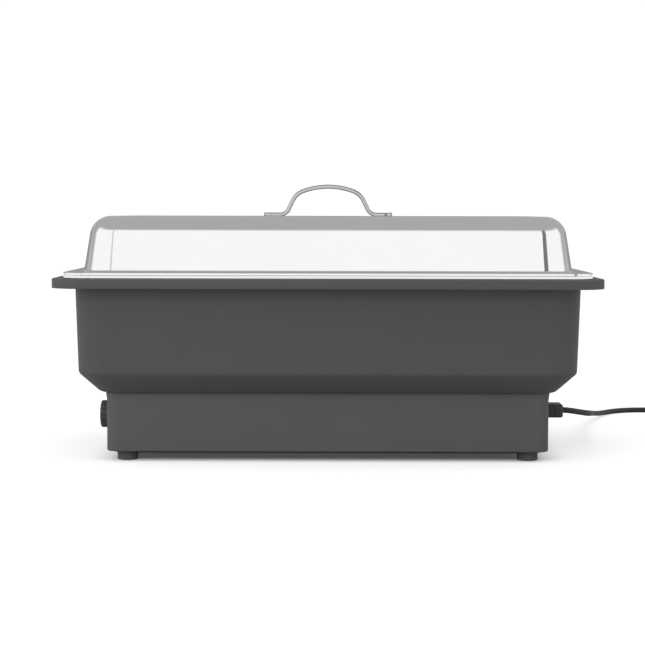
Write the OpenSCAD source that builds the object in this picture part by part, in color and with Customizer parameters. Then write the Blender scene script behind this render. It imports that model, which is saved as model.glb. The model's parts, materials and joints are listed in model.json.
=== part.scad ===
/* [Tub] */
// Length of the tub's lip, left to right
rim_l = 563; // [540:1:640]
// Width of the tub's lip, front to back
rim_w = 357; // [335:1:430]
// Height of the lip's top above the table
rim_z = 191.5; // [180:0.5:215]
// Depth of the lip's turned-down edge
rim_h = 10; // [6:1:16]
// Wall of the plastic tub
tub_wall = 3; // [2:0.5:4]
// How far the tub's wall stands in from the lip's edge
tub_inset = 21; // [18:1:24]
// Size of the slope at the foot of the tub
tub_chamfer = 20; // [12:1:24]

/* [Base] */
// Length of the base box
base_l = 461; // [430:1:468]
// Width of the base box
base_w = 254; // [240:1:260]
// Height of the base box's top above the table
base_top = 72; // [70:1:74]
// Wall of the base box
base_wall = 2.5; // [2:0.1:3]
// Corner radius of the base box
base_r = 13; // [10:1:18]

/* [Feet] */
// Height of the rubber feet
foot_h = 10.7; // [9:0.1:13]
// Diameter of the rubber feet
foot_d = 21.6; // [16:0.2:24]
// Distance between the feet's centres, left to right
foot_dx = 419; // [400:1:420]
// Distance between the feet's centres, front to back
foot_dy = 208; // [200:1:210]

/* [Food pan] */
// Length of the food pan's rim
pan_l = 530; // [525:1:532]
// Width of the food pan's rim
pan_w = 325; // [320:1:327]
// Depth of the food pan
pan_depth = 65; // [40:1:70]

/* [Lid] */
// Length of the lid's rim
lid_l = 540; // [538:1:548]
// Width of the lid's rim
lid_w = 335; // [333:1:342]
// Height of the lid's flat top above its rim
lid_rise = 57; // [45:0.5:80]
// Radius of the lid's shoulder
lid_shoulder = 35; // [16:1:40]
// Lean of the lid's walls, in degrees
lid_draft = 9; // [4:0.5:14]
// Thickness of the lid's sheet
lid_t = 0.9; // [0.7:0.1:1.2]

/* [Handle] */
// Length of the handle over its feet
handle_l = 140; // [130:1:170]
// Width of the handle's strap
handle_w = 24; // [18:1:30]
// Height of the handle above the lid
handle_h = 34.7; // [33:0.1:42]
// Depth of the strap's turned-down edges
handle_d = 4.2; // [3:0.1:5]
// Thickness of the strap
handle_t = 1.5; // [1.2:0.1:2]

/* [Controls] */
// Diameter of the thermostat knob
knob_d = 31; // [28:1:36]
// How far the knob stands out from the base
knob_out = 20; // [17:0.5:22]
// Height of the knob's axis above the table
knob_z = 36; // [34:1:40]
// Distance from the knob's axis to the pilot lamp
lamp_y = 48; // [36:1:70]

/* [Lead] */
// Height of the appliance inlet's axis above the table
inlet_z = 41.3; // [36:0.1:44]
// How far the connector stands out from the base
connector_out = 28.3; // [26:0.1:34]
// Diameter of the lead
cord_d = 6.5; // [6:0.1:7]
// Centreline radius of the coil's widest turn
coil_r = 44; // [40:1:48]
// Centreline radius of the coil's narrowest turn
coil_inner_r = 31; // [28:1:34]

/* [Hidden] */
$fn = 48;
gap = 0.1;                       // clearance between pieces that rest on each other
cut = 1;                         // how far a cutting shape runs past the face it cuts
half = rim_l / 2;                // half the length at the lip's edge
side = (rim_l - rim_w) / 2;      // how much shorter the half width is than the half length
floor_t = 3;                     // plastic floor of the tub and roof of the base box
window_l = 380;                  // opening above the heater, left to right
window_w = 184;                  // opening above the heater, front to back
basin_t = 0.8;                   // sheet of the water basin
basin_z = base_top + floor_t + 0.4;
end_x = base_l / 2;              // outer faces of the base box's ends
tub_steps = 6;                   // flat steps in a quarter turn of a rounded corner
pan_top = rim_z + 5.1;
lid_z = pan_top + 1.1;           // top of the lid's rim
lid_top = lid_z + lid_rise;
lid_foot = lid_l / 2 - 17.5;     // half length where the lid's wall meets its rim
spread_z = basin_z - gap - 4;    // underside of the heat spreader
tube_r = 4;                      // radius of the heating tube
tube_z = spread_z - gap - tube_r;
tube_y = 45;                     // the heating tube's two runs lie this far from the middle
stud_x = [-90, 10, 100];
shield_z = 46;
cover_z = foot_h - 3.7;
foot_xy = [for (x = [-1, 1], y = [-1, 1]) [x * foot_dx / 2, y * foot_dy / 2]];
cover_xy = [for (x = [-150, 0, 150], y = [-98, 98]) [x, y]];
joint_xy = [for (x = [-205, 205], y = [-50, 50]) [x, y], for (x = [-80, 80], y = [-104, 104]) [x, y]];
coil_at = [458, 305];
plug_x = coil_at[0] + coil_r;
plug_axis_z = 18.8;
plug_y = 255;                    // where the plug's sleeve begins
// The lead's free stretch, from the connector to the coil
CORD_ROUTE = [[256, 0, 41.4], [266, 0.4, 40.8], [276, 3.6, 39.1], [285, 11, 37.1], [291.5, 22.5, 35.3],
              [295.5, 38.5, 33.4], [298, 60, 31], [300.5, 90, 27.7], [304.5, 130, 23.2], [311, 172, 18.4],
              [318.5, 208, 14.5], [326.5, 240, 10.9], [335, 268, 7.8], [344, 293, 5], [355, 315, 3.6],
              [369, 333, 3.3], [387, 345, 3.3], [409, 348.8, 3.3], [433, 349, 3.3], [458, 349, 3.3]];
// The lead's end, from the top of the coil to the plug
TAIL_ROUTE = [[502, 305, 9.8], [502, 296, 10.2], [502, 284, 12], [502, 272, 15], [502, 262, 17.6],
              [502, 252, 18.8]];
CAPILLARY_ROUTE = [[-198, 6, 44], [-186, 20, 44], [-184, 50, 44], [-186, 90, 46], [-182, 108, 52],
                   [-165, 112, 60], [-140, 108, 62], [-120, 98, 64], [-108, 88, 68], [-96, 82, 72],
                   [-62, 82, 72.2]];
LIVE_ROUTE = [[200, 7, 40.3], [180, 20, 30], [120, 60, 24], [20, 70, 22], [-90, 60, 24],
              [-160, 30, 30], [-190, 12, 34], [-198, 8, 36]];
NEUTRAL_ROUTE = [[200, -7, 40.3], [185, -20, 32], [150, -26, 22], [110, -12, 19], [80, 0, 18.8],
                 [40, 0, 18.8], [10, -20, 20], [-60, -64, 28], [-150, -64, 33], [-184, -58, 40],
                 [-191, -50, 53], [-185, -46, 63], [-168, -45, 66.6], [-148, -45, 67]];
EARTH_ROUTE = [[200, 0, 44.3], [188, -8, 30], [170, -30, 18], [148, -62, 18], [140, -84, 24],
               [150, -100, 36], [160, -107, 50], [166, -101, 58], [168, -91, 65], [168, -84, 73]];

// ---- helpers ----

// Corner points of a rounded rectangle, anticlockwise from above; l and w are half sizes
function ring(l, w, r, z) =
    [for (q = [0:3], i = [0:tub_steps])
        let (a = 90 * q + 90 * i / tub_steps, sx = (q == 0 || q == 3) ? 1 : -1, sy = q < 2 ? 1 : -1)
        [sx * (l - r) + r * cos(a), sy * (w - r) + r * sin(a), z]];

// Solid or shell through rings given as [half length, z, corner radius]; d is half length less half width
module loft(profile, d) {
    n = 4 * (tub_steps + 1);
    m = len(profile);
    points = [for (p = profile) each ring(p[0], p[0] - d, p[2], p[1])];
    walls = [for (k = [0:m - 2], i = [0:n - 1])
        let (j = (i + 1) % n, a = k * n + i, b = k * n + j)
        each [[a, a + n, b + n], [a, b + n, b]]];
    caps = [[for (i = [0:n - 1]) i], [for (i = [n - 1:-1:0]) (m - 1) * n + i]];
    polyhedron(points, concat(walls, caps), convexity = 8);
}

function unit(v) = v / norm(v);

// One step of a smooth curve through four points
function blend(p, t) = 0.5 * (2 * p[1] + (p[2] - p[0]) * t + (2 * p[0] - 5 * p[1] + 4 * p[2] - p[3]) * t * t
    + (3 * p[1] - p[0] - 3 * p[2] + p[3]) * t * t * t);

// Points of a smooth curve through a route, with some steps between each pair
function smooth(route, steps) = let (n = len(route) - 1)
    [for (i = [0:n - 1], s = [0:steps - 1])
        blend([route[max(i - 1, 0)], route[i], route[i + 1], route[min(i + 2, n)]], s / steps),
     route[n]];

// Round tube along a route that never runs straight up
module tube(route, d, steps = 2, sides = 8) {
    path = smooth(route, steps);
    m = len(path);
    points = [for (k = [0:m - 1])
        let (t = unit(path[min(k + 1, m - 1)] - path[max(k - 1, 0)]),
             u = unit(cross(t, [0, 0, 1])), v = cross(u, t))
        for (i = [0:sides - 1]) path[k] + d / 2 * (cos(360 * i / sides) * u + sin(360 * i / sides) * v)];
    walls = [for (k = [0:m - 2], i = [0:sides - 1])
        let (j = (i + 1) % sides, a = k * sides + i, b = k * sides + j)
        each [[a, b, b + sides], [a, b + sides, a + sides]]];
    caps = [[for (i = [sides - 1:-1:0]) i], [for (i = [0:sides - 1]) (m - 1) * sides + i]];
    polyhedron(points, concat(walls, caps), convexity = 8);
}

// Upright plate with exact round corners, standing on z = 0
module plate(l, w, h, r) {
    linear_extrude(h) {
        square([l - 2 * r, w], center = true);
        square([l, w - 2 * r], center = true);
        for (x = [-1, 1], y = [-1, 1]) translate([x * (l / 2 - r), y * (w / 2 - r)]) circle(r);
    }
}

// Cylinder along X from x0 to x1
module x_rod(x0, x1, y, z, d) {
    translate([min(x0, x1), y, z]) rotate([0, 90, 0]) cylinder(h = abs(x1 - x0), d = d);
}

// Block along X from x0 to x1, centred on y and z
module x_block(x0, x1, y, z, w, h) {
    translate([min(x0, x1), y - w / 2, z - h / 2]) cube([abs(x1 - x0), w, h]);
}

// Screw whose head is below, with its shank pointing up
module up_screw(head_d, head_h, shank_d, shank_h) {
    cylinder(h = head_h, d = head_d);
    cylinder(h = head_h + shank_h, d = shank_d);
}

// Points on an arc, angles in degrees
function arc(cx, cz, r, a0, a1, n) =
    [for (i = [0:n]) let (a = a0 + (a1 - a0) * i / n) [cx + r * cos(a), cz + r * sin(a)]];

// ---- tub ----

module tub_housing() {
    wall = half - tub_inset;
    foot = wall - 3;
    low = foot - tub_chamfer;
    color([0.09, 0.09, 0.095]) difference() {
        loft([[low - 5.5, base_top, 18], [low, base_top + 2, 22], [foot, base_top + 2 + tub_chamfer, 28],
              [wall, rim_z - floor_t, 30], [half - 3, rim_z - floor_t, 28], [half - 3, rim_z - rim_h, 28],
              [half - 0.8, rim_z - rim_h, 30.2], [half, rim_z - rim_h + 1, 31], [half, rim_z - 1, 31],
              [half - 1, rim_z, 30], [half - 12.5, rim_z, 26], [half - 12.5, rim_z - 1, 26],
              [wall - tub_wall + 0.8, rim_z - 1, 27.8], [wall - tub_wall, rim_z - 2, 27],
              [foot - tub_wall, base_top + 4 + tub_chamfer, 25], [low - 2, base_top + 5, 20],
              [low - 6, base_top + floor_t, 16]], side);
        translate([0, 0, base_top - cut]) plate(window_l, window_w, floor_t + 2 * cut, 10);
        for (p = joint_xy) translate([p[0], p[1], base_top - cut]) cylinder(h = floor_t + 2 * cut, d = 4.1);
    }
}

module water_basin() {
    wall = half - tub_inset - tub_wall - 0.9;
    foot = wall - 3;
    low = foot - tub_chamfer;
    lip = half - 13.2;
    t = basin_t;
    color([0.72, 0.73, 0.74])
    loft([[low - 5, basin_z, 16], [low, basin_z + 2.2, 20], [foot, basin_z + 1.2 + tub_chamfer, 25],
          [wall, rim_z - 0.95, 27], [lip, rim_z - 0.95, 25.3], [lip, rim_z - 0.95 + t, 25.3],
          [wall - t, rim_z - 0.95 + t, 26.2], [foot - t, basin_z + 1.6 + tub_chamfer, 24.2],
          [low - 0.5, basin_z + 3, 19.5], [low - 5, basin_z + t, 16]], side);
}

module food_pan() {
    d = (pan_l - pan_w) / 2;
    lip = pan_l / 2;
    mouth = lip - 12;
    foot = mouth - 9;
    z0 = pan_top - pan_depth;
    t = 0.8;
    color([0.74, 0.75, 0.76])
    loft([[foot - 10, z0, 28], [foot - 3.5, z0 + 2, 33], [foot, z0 + 7, 36], [mouth, pan_top - 4.8, 42],
          [mouth + 2, pan_top - 0.8, 40], [lip - 0.8, pan_top - 0.8, 19.2], [lip - 0.8, rim_z + 0.05, 19.2],
          [lip, rim_z + 0.05, 20], [lip, pan_top - 0.8, 20], [lip - 0.8, pan_top, 19.2],
          [mouth + 1, pan_top, 40], [mouth - 0.8, pan_top - 3, 41.2], [foot - 0.8, z0 + 7.5, 35.2],
          [foot - 4, z0 + 3, 32], [foot - 10, z0 + t, 28]], d);
}

// ---- lid ----

// Half-profile of one side of the lid's skin: wall, shoulder and the edge of its flat top
function lid_side(t) = let (
        r = lid_shoulder - t,
        z_arc = lid_top - lid_shoulder,
        z_wall = z_arc + lid_shoulder * sin(lid_draft),
        x_wall = lid_foot - (z_wall - lid_z) * tan(lid_draft),
        x_arc = x_wall - lid_shoulder * cos(lid_draft))
    arc(x_arc, z_arc, r, lid_draft, 90, 6);

// Corner radius of the lid at a half length
function lid_r(x) = 33 - 28 * (lid_foot - x) / 40;

module lid_shell() {
    t = lid_t;
    lip = lid_l / 2;
    outer = lid_side(0);
    inner = lid_side(t);
    color([0.8, 0.81, 0.82])
    loft([for (i = [6:-1:0]) [inner[i][0], inner[i][1], max(lid_r(inner[i][0]), 4)],
          [lid_foot - t, lid_z - t, 32.1], [lip - t, lid_z - t, 21.1], [lip - t, rim_z + 0.6, 21.1],
          [lip, rim_z + 0.6, 22], [lip, lid_z - t, 22], [lip - t, lid_z, 21.1], [lid_foot + 1, lid_z, 34],
          [lid_foot, lid_z + 1, 33],
          for (p = outer) [p[0], p[1], max(lid_r(p[0]), 4)]], (lid_l - lid_w) / 2);
}

// Right half of the handle's arch, offset inwards by o, from the crown to the end of its foot
function arch_side(o) = let (
        crown_r = 82, elbow_r = 24, toe_r = 7.5, leg = 9.7, bend = 20, steep = 65,
        top = lid_top + handle_h,
        elbow = [(crown_r - elbow_r) * sin(bend), top - crown_r + (crown_r - elbow_r) * cos(bend)],
        hip = elbow + (elbow_r - o) * [sin(steep), cos(steep)],
        toe = elbow + elbow_r * [sin(steep), cos(steep)] + leg * [cos(steep), -sin(steep)]
            + toe_r * [sin(steep), cos(steep)])
    concat([for (a = [0:5:bend]) [(crown_r - o) * sin(a), top - crown_r + (crown_r - o) * cos(a)]],
           [for (a = [bend + 9:9:steep]) elbow + (elbow_r - o) * [sin(a), cos(a)]],
           [hip],
           [for (a = [steep:-13:0]) toe - (toe_r + o) * [sin(a), cos(a)]],
           [[handle_l / 2, toe[1] - toe_r - o]]);

// Strap of the handle: a band of some thickness, width wide, starting at y
module strap(thick, y, width) {
    outer = arch_side(0);
    inner = arch_side(thick);
    n = len(outer);
    back = [for (i = [n - 1:-1:0]) inner[i]];
    left = concat([for (i = [1:n - 1]) [-inner[i][0], inner[i][1]]],
                  [for (i = [n - 1:-1:1]) [-outer[i][0], outer[i][1]]]);
    translate([0, y + width, 0]) rotate([90, 0, 0]) linear_extrude(width)
        polygon(concat(outer, back, left));
}

module lid_handle() {
    color([0.7, 0.71, 0.72]) {
        strap(handle_t, -handle_w / 2, handle_w);
        for (y = [-handle_w / 2, handle_w / 2 - handle_t]) strap(handle_d, y, handle_t);
    }
}

// ---- base box ----

module base_housing() {
    ledge = foot_h + base_wall;
    color([0.11, 0.11, 0.115]) difference() {
        union() {
            difference() {
                translate([0, 0, foot_h]) plate(base_l, base_w, base_top - foot_h, base_r);
                translate([0, 0, ledge])
                    plate(base_l - 2 * base_wall, base_w - 2 * base_wall, base_top - floor_t - ledge, base_r - base_wall);
                translate([0, 0, foot_h - cut]) plate(400, 180, base_wall + 2 * cut, 8);
                translate([0, 0, base_top - floor_t - cut]) plate(window_l, window_w, floor_t + 2 * cut, 10);
            }
            for (p = foot_xy) translate([p[0], p[1], foot_h]) cylinder(h = base_top - foot_h - 1, d = 12);
            for (p = cover_xy) translate([p[0], p[1], foot_h]) cylinder(h = 13, d = 8);
        }
        for (p = foot_xy) translate([p[0], p[1], foot_h - cut]) cylinder(h = 20, d = 4.1);
        for (p = cover_xy) translate([p[0], p[1], foot_h - cut]) cylinder(h = 12, d = 3.1);
        for (p = joint_xy) translate([p[0], p[1], base_top - floor_t - cut]) cylinder(h = floor_t + 2 * cut, d = 4.1);
        x_rod(-end_x - cut, -end_x + base_wall + cut, 0, knob_z, 10.2);
        for (y = [-11, 11]) x_rod(-end_x - cut, -end_x + base_wall + cut, y, knob_z, 3.5);
        x_rod(-end_x - cut, -end_x + base_wall + cut, lamp_y, knob_z, 10.2);
        x_block(end_x - base_wall - cut, end_x + cut, 0, inlet_z, 29.4, 20);
        for (y = [-20, 20]) x_rod(end_x - base_wall - cut, end_x + cut, y, inlet_z, 3.1);
    }
}

module bottom_cover() {
    color([0.2, 0.2, 0.205]) difference() {
        translate([0, 0, cover_z]) plate(446, 212, foot_h - gap - cover_z, 8);
        translate([0, 0, cover_z - cut]) plate(440, 172, cut + 1.2, 6);
        for (p = foot_xy) translate([p[0], p[1], cover_z - cut]) cylinder(h = 6, d = foot_d + 1);
        for (p = cover_xy) translate([p[0], p[1], cover_z - cut]) cylinder(h = 6, d = 3.2);
        for (x = [-9, 9]) translate([x, -106, cover_z - cut]) cylinder(h = 3, d = 2.4);
        for (x = [-140:40:140], y = [-40, 40]) translate([x, y, cover_z - cut]) plate(3, 34, 6, 1.4);
    }
}

module foot(p) {
    color([0.03, 0.03, 0.03]) difference() {
        translate([p[0], p[1], 0]) rotate_extrude()
            polygon([[0, 0], [foot_d / 2 - 0.8, 0], [foot_d / 2, 0.8], [foot_d / 2, foot_h - gap],
                     [0, foot_h - gap]]);
        translate([p[0], p[1], -cut]) cylinder(h = 5 + cut, d = 8.6);
        translate([p[0], p[1], -cut]) cylinder(h = foot_h + 2 * cut, d = 4.2);
    }
}

module foot_front_left() { foot(foot_xy[0]); }
module foot_back_left() { foot(foot_xy[1]); }
module foot_front_right() { foot(foot_xy[2]); }
module foot_back_right() { foot(foot_xy[3]); }

module foot_screws() {
    color("silver") for (p = foot_xy) translate([p[0], p[1], 2.8]) up_screw(8, 2.2 - gap, 4, 20);
}

module cover_screws() {
    color("silver") for (p = cover_xy) translate([p[0], p[1], cover_z - 1.5]) up_screw(6, 1.4, 3, 12);
}

module housing_screws() {
    color("silver") for (p = joint_xy)
        translate([p[0], p[1], base_top - floor_t - gap - 2.4]) up_screw(7.5, 2.4, 4, 5.6);
}

// ---- heater ----

module heat_spreader() {
    color([0.8, 0.8, 0.8]) {
        translate([0, 0, spread_z]) plate(340, 150, 4, 12);
        for (x = stud_x) translate([x, 0, spread_z - 16]) cylinder(h = 17, d = 5);
    }
}

module heater_tube() {
    color([0.35, 0.32, 0.3]) {
        for (y = [-tube_y, tube_y]) x_rod(-150, 110, y, tube_z, 2 * tube_r);
        translate([110, 0, tube_z]) rotate([0, 0, -90]) rotate_extrude(angle = 180)
            translate([tube_y, 0]) circle(tube_r);
    }
}

module heater_clamps() {
    color("silver") for (x = stud_x) difference() {
        translate([x, 0, tube_z - tube_r - gap - 1.5]) plate(14, 112, 1.5, 3);
        translate([x, 0, tube_z - tube_r - 4]) cylinder(h = 6, d = 5.4);
    }
}

module clamp_nuts() {
    color("gray") for (x = stud_x) translate([x, 0, tube_z - tube_r - 2 * gap - 5.5]) difference() {
        cylinder(h = 4, d = 9.2, $fn = 6);
        translate([0, 0, -cut]) cylinder(h = 6, d = 5.1);
    }
}

module thermal_cutout() {
    color([0.85, 0.82, 0.75]) translate([-40, 0, 0]) {
        translate([0, 0, spread_z - gap - 6]) cylinder(h = 6, d = 16);
        for (y = [-1, 1]) translate([-3.2, y * 10 - 4, spread_z - gap - 7]) cube([6.4, 8, 1]);
    }
}

module insulation_pad() {
    color([0.9, 0.88, 0.82]) translate([0, 0, shield_z + 1 + gap]) plate(340, 150, 7, 10);
}

module heat_shield() {
    top = base_top - floor_t - gap;
    color([0.75, 0.75, 0.76]) difference() {
        union() {
            translate([0, 0, shield_z]) plate(358, 178, top - shield_z, 14);
            translate([0, 0, top - 1]) plate(396, 196, 1, 8);
        }
        translate([0, 0, shield_z + 1]) plate(356, 176, top, 13);
        x_block(-200, -168, -45, 64, 30, 14);     // way in for the neutral wire
        x_block(-128, -92, 92, 66, 32, 22);       // way in for the capillary tube
        x_block(158, 178, -94, 66, 26, 22);       // way in for the earth wire
    }
}

// ---- thermostat and lamp ----

module thermostat_body() {
    inside = -end_x + base_wall + gap;
    color([0.8, 0.78, 0.7]) difference() {
        union() {
            x_block(inside, inside + 1.5, 0, knob_z, 42, 30);
            x_block(inside + 1.5, inside + 31, 0, knob_z, 34, 30);
            x_rod(inside, -end_x - 0.9, 0, knob_z, 10);
        }
        x_rod(-end_x - 2, inside + 24, 0, knob_z, 6.1);
        for (y = [-11, 11]) x_rod(-end_x - cut, inside + 6, y, knob_z, 3.5);
    }
}

module thermostat_screws() {
    color("silver") for (y = [-11, 11]) {
        x_rod(-end_x - 0.6, -end_x - 1.6, y, knob_z, 5.6);
        x_rod(-end_x - 1.6, -end_x + 6, y, knob_z, 3);
    }
}

module thermostat_shaft() {
    color("silver") x_rod(-end_x + base_wall + 23, -end_x - knob_out + 3, 0, knob_z, 6);
}

module capillary_tube() { color([0.72, 0.45, 0.3]) tube(CAPILLARY_ROUTE, 1.6); }

module sensor_bulb() { color([0.72, 0.45, 0.3]) x_rod(-62, -2, 82, 72.2, 6); }

module bulb_clips() {
    color("silver") for (x = [-48, -18]) difference() {
        x_block(x, x + 6, 82, 71.6, 8.4, 7.2);
        x_rod(x - cut, x + 7, 82, 72.2, 6.1);
    }
}

module dial_plate() {
    color([0.75, 0.75, 0.76]) difference() {
        x_rod(-end_x, -end_x - 0.5, 0, knob_z, 48);
        x_rod(-end_x + cut, -end_x - 2, 0, knob_z, 10.6);
        for (y = [-11, 11]) x_rod(-end_x + cut, -end_x - 2, y, knob_z, 3.5);
    }
}

module thermostat_knob() {
    r = knob_d / 2;
    back = 1.9;
    color([0.04, 0.04, 0.042]) difference() {
        translate([-end_x, 0, knob_z]) rotate([0, -90, 0]) rotate_extrude()
            polygon([[0, back], [r, back], [r, back + 3.6], [r - 0.3, back + 4.2], [r - 0.5, knob_out - 2.2],
                     [r - 1.4, knob_out - 0.7], [r - 3, knob_out], [0, knob_out]]);
        x_rod(-end_x + cut, -end_x - knob_out + 3, 0, knob_z, 6.04);
        x_block(-end_x - knob_out - cut, -end_x - knob_out + 1, -10, knob_z, 12, 1.6);
    }
}

module knob_pointer() {
    color("white") x_block(-end_x - knob_out, -end_x - knob_out + 0.95, -8, knob_z, 5, 1.5);
}

module lamp_holder() {
    color([0.1, 0.1, 0.1]) difference() {
        x_rod(-end_x + base_wall + gap, -end_x + 22, lamp_y, knob_z, 14);
        x_rod(-end_x + base_wall - cut, -end_x + 12, lamp_y, knob_z, 10.2);
    }
}

module lamp_lens() {
    color([0.9, 0.35, 0.1]) {
        x_rod(-end_x - 0.1, -end_x - 1.2, lamp_y, knob_z, 12);
        x_rod(-end_x - 2.4, -end_x + 10, lamp_y, knob_z, 10);
    }
}

// ---- mains side ----

module terminal_block() {
    color([0.9, 0.9, 0.88]) translate([60, 0, foot_h + gap]) difference() {
        plate(46, 18, 15, 2);
        for (x = [-14, 0, 14]) translate([x, 0, 8]) cylinder(h = 8, d = 4);
    }
}

module appliance_inlet() {
    color([0.05, 0.05, 0.05]) difference() {
        union() {
            x_block(end_x, end_x + 2.2, 0, inlet_z, 50, 24);
            x_block(206, end_x + 1, 0, inlet_z, 29, 19.6);
        }
        x_block(214, end_x + 3, 0, inlet_z, 24.8, 14.2);
        for (y = [-20, 20]) x_rod(end_x - 2, end_x + 3, y, inlet_z, 3.1);
        for (y = [-7, 7]) x_block(200, 220, y, inlet_z - 1, 2.1, 4.1);
        x_block(200, 220, 0, inlet_z + 3, 2.1, 4.1);
    }
}

module inlet_pins() {
    color("silver") {
        for (y = [-7, 7]) x_block(197, 228, y, inlet_z - 1, 2, 4);
        x_block(197, 229, 0, inlet_z + 3, 2, 4);
    }
}

module inlet_screws() {
    color("silver") for (y = [-20, 20]) {
        x_rod(end_x + 2.2 + gap, end_x + 3.6, y, inlet_z, 5.6);
        x_rod(end_x - 6, end_x + 3.6, y, inlet_z, 3);
    }
}

module connector_body() {
    tip = end_x + connector_out;
    color([0.035, 0.035, 0.037]) difference() {
        union() {
            x_block(215, end_x + 5, 0, inlet_z, 24.2, 13.6);
            translate([end_x + 2.6, 0, inlet_z]) rotate([0, 90, 0]) {
                plate(14.9, 26.5, connector_out - 5.6, 3);
                plate(12.5, 24, connector_out - 2.6, 3);
            }
        }
        for (y = [-7, 7]) x_block(210, 229, y, inlet_z - 1, 2.6, 4.6);
        x_block(210, 230, 0, inlet_z + 3, 2.6, 4.6);
        translate([tip - 3.2, 0, inlet_z]) rotate([0, 90, 0]) cylinder(h = 5, d = cord_d);
    }
}

module live_wire() { color("brown") tube(LIVE_ROUTE, 2.6); }
module neutral_wire() { color("blue") tube(NEUTRAL_ROUTE, 2.6); }
module earth_wire() { color("green") tube(EARTH_ROUTE, 2.6); }

module supply_cord() { color([0.05, 0.05, 0.05]) tube(CORD_ROUTE, cord_d); }

module cord_coil() {
    color([0.05, 0.05, 0.05]) translate([coil_at[0], coil_at[1], 0]) rotate_extrude()
        translate([coil_inner_r - cord_d / 2, 0]) square([coil_r - coil_inner_r + cord_d, 2 * cord_d]);
}

module cord_tail() { color([0.05, 0.05, 0.05]) tube(TAIL_ROUTE, cord_d); }

module plug_body() {
    color([0.04, 0.04, 0.042]) difference() {
        translate([plug_x, plug_y, plug_axis_z]) rotate([90, 0, 0]) rotate_extrude()
            polygon([[0, 0], [4.6, 0], [6.4, 22], [14, 26], [17.5, 32], [18.6, 40], [18.6, 58], [0, 58]]);
        translate([plug_x, plug_y + cut, plug_axis_z]) rotate([90, 0, 0]) cylinder(h = 4, d = cord_d);
        for (x = [-9.5, 9.5]) translate([plug_x + x, plug_y - 57, plug_axis_z]) rotate([90, 0, 0])
            cylinder(h = 10, d = 4.8);
    }
}

module plug_pins() {
    color("silver") for (x = [-9.5, 9.5]) translate([plug_x + x, plug_y - 57.1, plug_axis_z]) rotate([90, 0, 0]) {
        cylinder(h = 18.6, d = 4.7);
        translate([0, 0, 18.6]) cylinder(h = 1.2, d1 = 4.7, d2 = 3);
    }
}

tub_housing();
water_basin();
base_housing();
housing_screws();
bottom_cover();
cover_screws();
foot_front_left();
foot_front_right();
foot_back_left();
foot_back_right();
foot_screws();
heat_spreader();
heater_tube();
heater_clamps();
clamp_nuts();
insulation_pad();
heat_shield();
thermal_cutout();
thermostat_body();
thermostat_screws();
thermostat_shaft();
capillary_tube();
sensor_bulb();
bulb_clips();
dial_plate();
thermostat_knob();
knob_pointer();
lamp_holder();
lamp_lens();
terminal_block();
appliance_inlet();
inlet_pins();
inlet_screws();
live_wire();
neutral_wire();
earth_wire();
food_pan();
lid_shell();
lid_handle();
connector_body();
supply_cord();
cord_coil();
cord_tail();
plug_body();
plug_pins();
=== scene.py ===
# %% [markdown]
# # An electric buffet server, dressed for the camera
#
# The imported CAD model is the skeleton: it holds every size, joint and screw. This lesson puts finished
# skins over the pieces that are seen and gives every piece a real material. Everything is in metres, in the
# same frame as the CAD, so a skin goes exactly where its CAD node is.

# %% Load the frame
import json
import math

import bmesh
import bpy
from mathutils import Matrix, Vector


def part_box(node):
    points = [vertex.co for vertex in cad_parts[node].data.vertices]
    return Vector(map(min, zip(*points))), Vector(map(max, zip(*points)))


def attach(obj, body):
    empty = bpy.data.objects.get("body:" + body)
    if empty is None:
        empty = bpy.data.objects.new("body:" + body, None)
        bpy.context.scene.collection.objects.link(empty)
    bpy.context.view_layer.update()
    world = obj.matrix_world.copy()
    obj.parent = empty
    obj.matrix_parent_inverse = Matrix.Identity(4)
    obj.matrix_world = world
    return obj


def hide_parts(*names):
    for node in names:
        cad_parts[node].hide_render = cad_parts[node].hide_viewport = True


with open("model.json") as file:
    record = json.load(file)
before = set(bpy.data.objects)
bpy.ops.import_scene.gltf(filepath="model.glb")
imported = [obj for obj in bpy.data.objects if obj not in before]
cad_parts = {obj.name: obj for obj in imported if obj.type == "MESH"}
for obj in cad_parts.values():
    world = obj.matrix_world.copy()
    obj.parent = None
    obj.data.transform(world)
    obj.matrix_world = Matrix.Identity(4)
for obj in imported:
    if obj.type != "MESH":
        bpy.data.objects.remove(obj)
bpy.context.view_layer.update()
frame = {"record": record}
MM = 0.001

# %% [markdown]
# ## The camera
#
# The server is seen from its long front side, from just above the height of its lip. A long lens nearly
# two metres away keeps the sides almost parallel. The camera pitches down a few degrees and has no shift, so
# that any other view around the object is framed just as well.

# %% Camera
tub_low, tub_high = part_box("tub_housing")
camera_data = bpy.data.cameras.new("camera")
camera_data.sensor_width = 36
camera_data.lens = 100.3
camera_data.clip_end = 30
camera = bpy.data.objects.new("camera", camera_data)
CAMERA_AWAY = 1.8                                  # from the front of the lip
CAMERA_TURN = math.radians(0.2)                    # how far the right end is turned towards the camera
camera.location = (CAMERA_AWAY * math.sin(CAMERA_TURN) - 5.6 * MM,
                   tub_low[1] - CAMERA_AWAY * math.cos(CAMERA_TURN), 0.2585)
camera.rotation_euler = (math.radians(90 - 3.5), math.radians(-0.12), CAMERA_TURN)
bpy.context.collection.objects.link(camera)
bpy.context.scene.camera = camera
print("camera at", [round(v, 3) for v in camera.location])
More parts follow.
